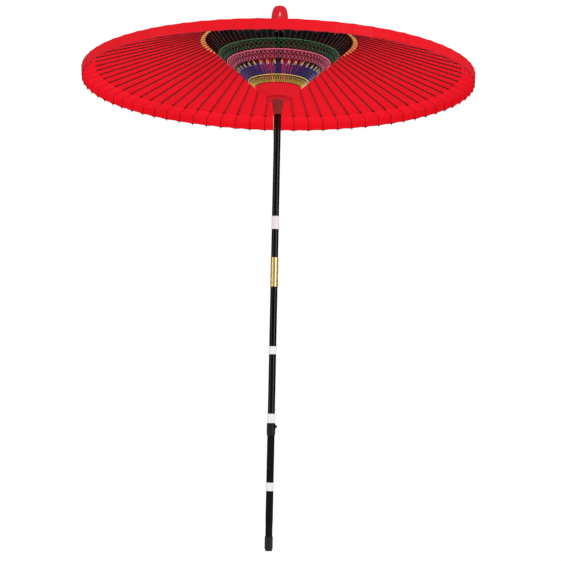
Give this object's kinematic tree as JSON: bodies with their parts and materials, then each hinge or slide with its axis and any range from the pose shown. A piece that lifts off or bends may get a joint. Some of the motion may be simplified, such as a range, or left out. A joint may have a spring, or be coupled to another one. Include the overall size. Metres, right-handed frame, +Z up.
{
  "type": "outdoor paper parasol",
  "caption": "Large outdoor oiled-paper parasol with a turned-down rim, folding bamboo ribs and struts, thread nets and a two-length lacquered pole.",
  "frame": {"origin": "centre of the pole's foot, on the plane it rests on", "axes": "+Z up along the pole, +Y away from the usual viewer, +X to the right"},
  "size_m": [1.8, 1.7996, 2.4838],
  "materials": {
    "satin_black_wood": "satin black lacquer on wood, duller than the upper length",
    "black_lacquer": "glossy black lacquer on wood",
    "black_iron": "black painted metal",
    "black_plastic": "moulded black collar, satin",
    "brass": "polished brass sleeve",
    "steel": "bright nail-like peg",
    "rattan": "bleached rattan winding, lacquered",
    "red_lacquer_wood": "turned wood with deep red lacquer",
    "natural_thread": "natural linen thread",
    "red_oiled_paper": "red handmade paper, oiled and lacquered, glossy and translucent",
    "red_lining_paper": "darker red lining paper",
    "black_bamboo": "split bamboo with black lacquer",
    "bamboo": "pale bamboo leaf spring",
    "yellow_thread": "golden yellow cotton thread",
    "green_thread": "green cotton thread",
    "pink_thread": "pink cotton thread",
    "blue_thread": "blue cotton thread"
  },
  "bodies": {
    "pole_lower": {"lower_pole": "satin_black_wood", "foot_ferrule": "black_iron", "joint_sleeve": "brass", "lower_wraps": "rattan", "tie_peg": "steel"},
    "pole_upper": {"upper_pole": "black_lacquer", "upper_wrap": "rattan", "head_hub": "red_lacquer_wood", "cap": "red_oiled_paper", "canopy": "red_oiled_paper", "rim_paper": "red_lining_paper", "between_ribs": "black_bamboo", "between_struts": "black_bamboo", "joint_wraps": "yellow_thread", "net_green": "green_thread", "net_pink": "pink_thread", "net_blue": "blue_thread", "net_yellow": "yellow_thread", "strut_band": "red_oiled_paper"},
    "collar": {"stand_collar": "black_plastic"},
    "screw": {"clamp_screw": "black_iron"},
    "catch_leaf": {"catch": "bamboo"},
    "runner_body": {"runner": "red_lacquer_wood", "runner_thread": "natural_thread"},
    "rib_body_01": {"rib_01": "black_bamboo"},
    "strut_body_01": {"strut_01": "black_bamboo"},
    "rib_body_02": {"rib_02": "black_bamboo"},
    "strut_body_02": {"strut_02": "black_bamboo"},
    "rib_body_03": {"rib_03": "black_bamboo"},
    "strut_body_03": {"strut_03": "black_bamboo"},
    "rib_body_04": {"rib_04": "black_bamboo"},
    "strut_body_04": {"strut_04": "black_bamboo"},
    "rib_body_05": {"rib_05": "black_bamboo"},
    "strut_body_05": {"strut_05": "black_bamboo"},
    "rib_body_06": {"rib_06": "black_bamboo"},
    "strut_body_06": {"strut_06": "black_bamboo"},
    "rib_body_07": {"rib_07": "black_bamboo"},
    "strut_body_07": {"strut_07": "black_bamboo"},
    "rib_body_08": {"rib_08": "black_bamboo"},
    "strut_body_08": {"strut_08": "black_bamboo"},
    "rib_body_09": {"rib_09": "black_bamboo"},
    "strut_body_09": {"strut_09": "black_bamboo"},
    "rib_body_10": {"rib_10": "black_bamboo"},
    "strut_body_10": {"strut_10": "black_bamboo"},
    "rib_body_11": {"rib_11": "black_bamboo"},
    "strut_body_11": {"strut_11": "black_bamboo"},
    "rib_body_12": {"rib_12": "black_bamboo"},
    "strut_body_12": {"strut_12": "black_bamboo"},
    "rib_body_13": {"rib_13": "black_bamboo"},
    "strut_body_13": {"strut_13": "black_bamboo"},
    "rib_body_14": {"rib_14": "black_bamboo"},
    "strut_body_14": {"strut_14": "black_bamboo"},
    "rib_body_15": {"rib_15": "black_bamboo"},
    "strut_body_15": {"strut_15": "black_bamboo"},
    "rib_body_16": {"rib_16": "black_bamboo"},
    "strut_body_16": {"strut_16": "black_bamboo"},
    "rib_body_17": {"rib_17": "black_bamboo"},
    "strut_body_17": {"strut_17": "black_bamboo"},
    "rib_body_18": {"rib_18": "black_bamboo"},
    "strut_body_18": {"strut_18": "black_bamboo"}
  },
  "joints": [
    {"name": "runner_slide", "type": "slide", "parent": "pole_upper", "child": "runner_body", "axis": [0, 0, -1], "range_m": [0, 0.34926], "deforming": ["canopy", "rim_paper", "between_ribs", "between_struts", "joint_wraps", "net_green", "net_pink", "net_blue", "net_yellow", "strut_band", "runner_thread", "catch"]},
    {"name": "rib_hinge_01", "type": "hinge", "parent": "pole_upper", "child": "rib_body_01", "pos_m": [0.032, 0, 2.40869], "axis": [0, 1, 0], "range_deg": [0, 68.85]},
    {"name": "strut_hinge_01", "type": "hinge", "parent": "rib_body_01", "child": "strut_body_01", "pos_m": [0.335, 0, 2.3099], "axis": [0, -1, 0], "range_deg": [0, 116.44]},
    {"name": "rib_hinge_02", "type": "hinge", "parent": "pole_upper", "child": "rib_body_02", "pos_m": [0.03007, 0.01094, 2.40869], "axis": [-0.342, 0.9397, 0], "range_deg": [0, 68.85]},
    {"name": "strut_hinge_02", "type": "hinge", "parent": "rib_body_02", "child": "strut_body_02", "pos_m": [0.3148, 0.11458, 2.3099], "axis": [0.342, -0.9397, 0], "range_deg": [0, 116.44]},
    {"name": "rib_hinge_03", "type": "hinge", "parent": "pole_upper", "child": "rib_body_03", "pos_m": [0.02451, 0.02057, 2.40869], "axis": [-0.6428, 0.766, 0], "range_deg": [0, 68.85]},
    {"name": "strut_hinge_03", "type": "hinge", "parent": "rib_body_03", "child": "strut_body_03", "pos_m": [0.25662, 0.21533, 2.3099], "axis": [0.6428, -0.766, 0], "range_deg": [0, 116.44]},
    {"name": "rib_hinge_04", "type": "hinge", "parent": "pole_upper", "child": "rib_body_04", "pos_m": [0.016, 0.02771, 2.40869], "axis": [-0.866, 0.5, 0], "range_deg": [0, 68.85]},
    {"name": "strut_hinge_04", "type": "hinge", "parent": "rib_body_04", "child": "strut_body_04", "pos_m": [0.1675, 0.29012, 2.3099], "axis": [0.866, -0.5, 0], "range_deg": [0, 116.44]},
    {"name": "rib_hinge_05", "type": "hinge", "parent": "pole_upper", "child": "rib_body_05", "pos_m": [0.00556, 0.03151, 2.40869], "axis": [-0.9848, 0.1736, 0], "range_deg": [0, 68.85]},
    {"name": "strut_hinge_05", "type": "hinge", "parent": "rib_body_05", "child": "strut_body_05", "pos_m": [0.05817, 0.32991, 2.3099], "axis": [0.9848, -0.1736, 0], "range_deg": [0, 116.44]},
    {"name": "rib_hinge_06", "type": "hinge", "parent": "pole_upper", "child": "rib_body_06", "pos_m": [-0.00556, 0.03151, 2.40869], "axis": [-0.9848, -0.1736, 0], "range_deg": [0, 68.85]},
    {"name": "strut_hinge_06", "type": "hinge", "parent": "rib_body_06", "child": "strut_body_06", "pos_m": [-0.05817, 0.32991, 2.3099], "axis": [0.9848, 0.1736, 0], "range_deg": [0, 116.44]},
    {"name": "rib_hinge_07", "type": "hinge", "parent": "pole_upper", "child": "rib_body_07", "pos_m": [-0.016, 0.02771, 2.40869], "axis": [-0.866, -0.5, 0], "range_deg": [0, 68.85]},
    {"name": "strut_hinge_07", "type": "hinge", "parent": "rib_body_07", "child": "strut_body_07", "pos_m": [-0.1675, 0.29012, 2.3099], "axis": [0.866, 0.5, 0], "range_deg": [0, 116.44]},
    {"name": "rib_hinge_08", "type": "hinge", "parent": "pole_upper", "child": "rib_body_08", "pos_m": [-0.02451, 0.02057, 2.40869], "axis": [-0.6428, -0.766, 0], "range_deg": [0, 68.85]},
    {"name": "strut_hinge_08", "type": "hinge", "parent": "rib_body_08", "child": "strut_body_08", "pos_m": [-0.25662, 0.21533, 2.3099], "axis": [0.6428, 0.766, 0], "range_deg": [0, 116.44]},
    {"name": "rib_hinge_09", "type": "hinge", "parent": "pole_upper", "child": "rib_body_09", "pos_m": [-0.03007, 0.01094, 2.40869], "axis": [-0.342, -0.9397, 0], "range_deg": [0, 68.85]},
    {"name": "strut_hinge_09", "type": "hinge", "parent": "rib_body_09", "child": "strut_body_09", "pos_m": [-0.3148, 0.11458, 2.3099], "axis": [0.342, 0.9397, 0], "range_deg": [0, 116.44]},
    {"name": "rib_hinge_10", "type": "hinge", "parent": "pole_upper", "child": "rib_body_10", "pos_m": [-0.032, 0, 2.40869], "axis": [0, -1, 0], "range_deg": [0, 68.85]},
    {"name": "strut_hinge_10", "type": "hinge", "parent": "rib_body_10", "child": "strut_body_10", "pos_m": [-0.335, 0, 2.3099], "axis": [0, 1, 0], "range_deg": [0, 116.44]},
    {"name": "rib_hinge_11", "type": "hinge", "parent": "pole_upper", "child": "rib_body_11", "pos_m": [-0.03007, -0.01094, 2.40869], "axis": [0.342, -0.9397, 0], "range_deg": [0, 68.85]},
    {"name": "strut_hinge_11", "type": "hinge", "parent": "rib_body_11", "child": "strut_body_11", "pos_m": [-0.3148, -0.11458, 2.3099], "axis": [-0.342, 0.9397, 0], "range_deg": [0, 116.44]},
    {"name": "rib_hinge_12", "type": "hinge", "parent": "pole_upper", "child": "rib_body_12", "pos_m": [-0.02451, -0.02057, 2.40869], "axis": [0.6428, -0.766, 0], "range_deg": [0, 68.85]},
    {"name": "strut_hinge_12", "type": "hinge", "parent": "rib_body_12", "child": "strut_body_12", "pos_m": [-0.25662, -0.21533, 2.3099], "axis": [-0.6428, 0.766, 0], "range_deg": [0, 116.44]},
    {"name": "rib_hinge_13", "type": "hinge", "parent": "pole_upper", "child": "rib_body_13", "pos_m": [-0.016, -0.02771, 2.40869], "axis": [0.866, -0.5, 0], "range_deg": [0, 68.85]},
    {"name": "strut_hinge_13", "type": "hinge", "parent": "rib_body_13", "child": "strut_body_13", "pos_m": [-0.1675, -0.29012, 2.3099], "axis": [-0.866, 0.5, 0], "range_deg": [0, 116.44]},
    {"name": "rib_hinge_14", "type": "hinge", "parent": "pole_upper", "child": "rib_body_14", "pos_m": [-0.00556, -0.03151, 2.40869], "axis": [0.9848, -0.1736, 0], "range_deg": [0, 68.85]},
    {"name": "strut_hinge_14", "type": "hinge", "parent": "rib_body_14", "child": "strut_body_14", "pos_m": [-0.05817, -0.32991, 2.3099], "axis": [-0.9848, 0.1736, 0], "range_deg": [0, 116.44]},
    {"name": "rib_hinge_15", "type": "hinge", "parent": "pole_upper", "child": "rib_body_15", "pos_m": [0.00556, -0.03151, 2.40869], "axis": [0.9848, 0.1736, 0], "range_deg": [0, 68.85]},
    {"name": "strut_hinge_15", "type": "hinge", "parent": "rib_body_15", "child": "strut_body_15", "pos_m": [0.05817, -0.32991, 2.3099], "axis": [-0.9848, -0.1736, 0], "range_deg": [0, 116.44]},
    {"name": "rib_hinge_16", "type": "hinge", "parent": "pole_upper", "child": "rib_body_16", "pos_m": [0.016, -0.02771, 2.40869], "axis": [0.866, 0.5, 0], "range_deg": [0, 68.85]},
    {"name": "strut_hinge_16", "type": "hinge", "parent": "rib_body_16", "child": "strut_body_16", "pos_m": [0.1675, -0.29012, 2.3099], "axis": [-0.866, -0.5, 0], "range_deg": [0, 116.44]},
    {"name": "rib_hinge_17", "type": "hinge", "parent": "pole_upper", "child": "rib_body_17", "pos_m": [0.02451, -0.02057, 2.40869], "axis": [0.6428, 0.766, 0], "range_deg": [0, 68.85]},
    {"name": "strut_hinge_17", "type": "hinge", "parent": "rib_body_17", "child": "strut_body_17", "pos_m": [0.25662, -0.21533, 2.3099], "axis": [-0.6428, -0.766, 0], "range_deg": [0, 116.44]},
    {"name": "rib_hinge_18", "type": "hinge", "parent": "pole_upper", "child": "rib_body_18", "pos_m": [0.03007, -0.01094, 2.40869], "axis": [0.342, 0.9397, 0], "range_deg": [0, 68.85]},
    {"name": "strut_hinge_18", "type": "hinge", "parent": "rib_body_18", "child": "strut_body_18", "pos_m": [0.3148, -0.11458, 2.3099], "axis": [-0.342, -0.9397, 0], "range_deg": [0, 116.44]},
    {"name": "pole_pull", "type": "slide", "parent": "pole_lower", "child": "pole_upper", "axis": [0, 0, 1], "range_m": [0, 0.105]},
    {"name": "catch_press", "type": "hinge", "parent": "pole_upper", "child": "catch_leaf", "pos_m": [-0.012, 0, 1.846], "axis": [0, 1, 0], "range_deg": [0, 2.4], "stiffness_Nm_per_rad": 0.5},
    {"name": "collar_slide", "type": "slide", "parent": "pole_lower", "child": "collar", "axis": [0, 0, -1], "range_m": [0, 0.2]},
    {"name": "screw_turn", "type": "hinge", "parent": "collar", "child": "screw", "pos_m": [0.01685, -0.01414, 0.548], "axis": [0.766, -0.6428, 0], "range_deg": [-270, 0]}
  ],
  "couplings": [
    {"joint": "rib_hinge_01", "follows": "runner_slide", "rad_per_m": 3.4381},
    {"joint": "strut_hinge_01", "follows": "runner_slide", "rad_per_m": 5.8161},
    {"joint": "rib_hinge_02", "follows": "runner_slide", "rad_per_m": 3.4381},
    {"joint": "strut_hinge_02", "follows": "runner_slide", "rad_per_m": 5.8161},
    {"joint": "rib_hinge_03", "follows": "runner_slide", "rad_per_m": 3.4381},
    {"joint": "strut_hinge_03", "follows": "runner_slide", "rad_per_m": 5.8161},
    {"joint": "rib_hinge_04", "follows": "runner_slide", "rad_per_m": 3.4381},
    {"joint": "strut_hinge_04", "follows": "runner_slide", "rad_per_m": 5.8161},
    {"joint": "rib_hinge_05", "follows": "runner_slide", "rad_per_m": 3.4381},
    {"joint": "strut_hinge_05", "follows": "runner_slide", "rad_per_m": 5.8161},
    {"joint": "rib_hinge_06", "follows": "runner_slide", "rad_per_m": 3.4381},
    {"joint": "strut_hinge_06", "follows": "runner_slide", "rad_per_m": 5.8161},
    {"joint": "rib_hinge_07", "follows": "runner_slide", "rad_per_m": 3.4381},
    {"joint": "strut_hinge_07", "follows": "runner_slide", "rad_per_m": 5.8161},
    {"joint": "rib_hinge_08", "follows": "runner_slide", "rad_per_m": 3.4381},
    {"joint": "strut_hinge_08", "follows": "runner_slide", "rad_per_m": 5.8161},
    {"joint": "rib_hinge_09", "follows": "runner_slide", "rad_per_m": 3.4381},
    {"joint": "strut_hinge_09", "follows": "runner_slide", "rad_per_m": 5.8161},
    {"joint": "rib_hinge_10", "follows": "runner_slide", "rad_per_m": 3.4381},
    {"joint": "strut_hinge_10", "follows": "runner_slide", "rad_per_m": 5.8161},
    {"joint": "rib_hinge_11", "follows": "runner_slide", "rad_per_m": 3.4381},
    {"joint": "strut_hinge_11", "follows": "runner_slide", "rad_per_m": 5.8161},
    {"joint": "rib_hinge_12", "follows": "runner_slide", "rad_per_m": 3.4381},
    {"joint": "strut_hinge_12", "follows": "runner_slide", "rad_per_m": 5.8161},
    {"joint": "rib_hinge_13", "follows": "runner_slide", "rad_per_m": 3.4381},
    {"joint": "strut_hinge_13", "follows": "runner_slide", "rad_per_m": 5.8161},
    {"joint": "rib_hinge_14", "follows": "runner_slide", "rad_per_m": 3.4381},
    {"joint": "strut_hinge_14", "follows": "runner_slide", "rad_per_m": 5.8161},
    {"joint": "rib_hinge_15", "follows": "runner_slide", "rad_per_m": 3.4381},
    {"joint": "strut_hinge_15", "follows": "runner_slide", "rad_per_m": 5.8161},
    {"joint": "rib_hinge_16", "follows": "runner_slide", "rad_per_m": 3.4381},
    {"joint": "strut_hinge_16", "follows": "runner_slide", "rad_per_m": 5.8161},
    {"joint": "rib_hinge_17", "follows": "runner_slide", "rad_per_m": 3.4381},
    {"joint": "strut_hinge_17", "follows": "runner_slide", "rad_per_m": 5.8161},
    {"joint": "rib_hinge_18", "follows": "runner_slide", "rad_per_m": 3.4381},
    {"joint": "strut_hinge_18", "follows": "runner_slide", "rad_per_m": 5.8161}
  ]
}
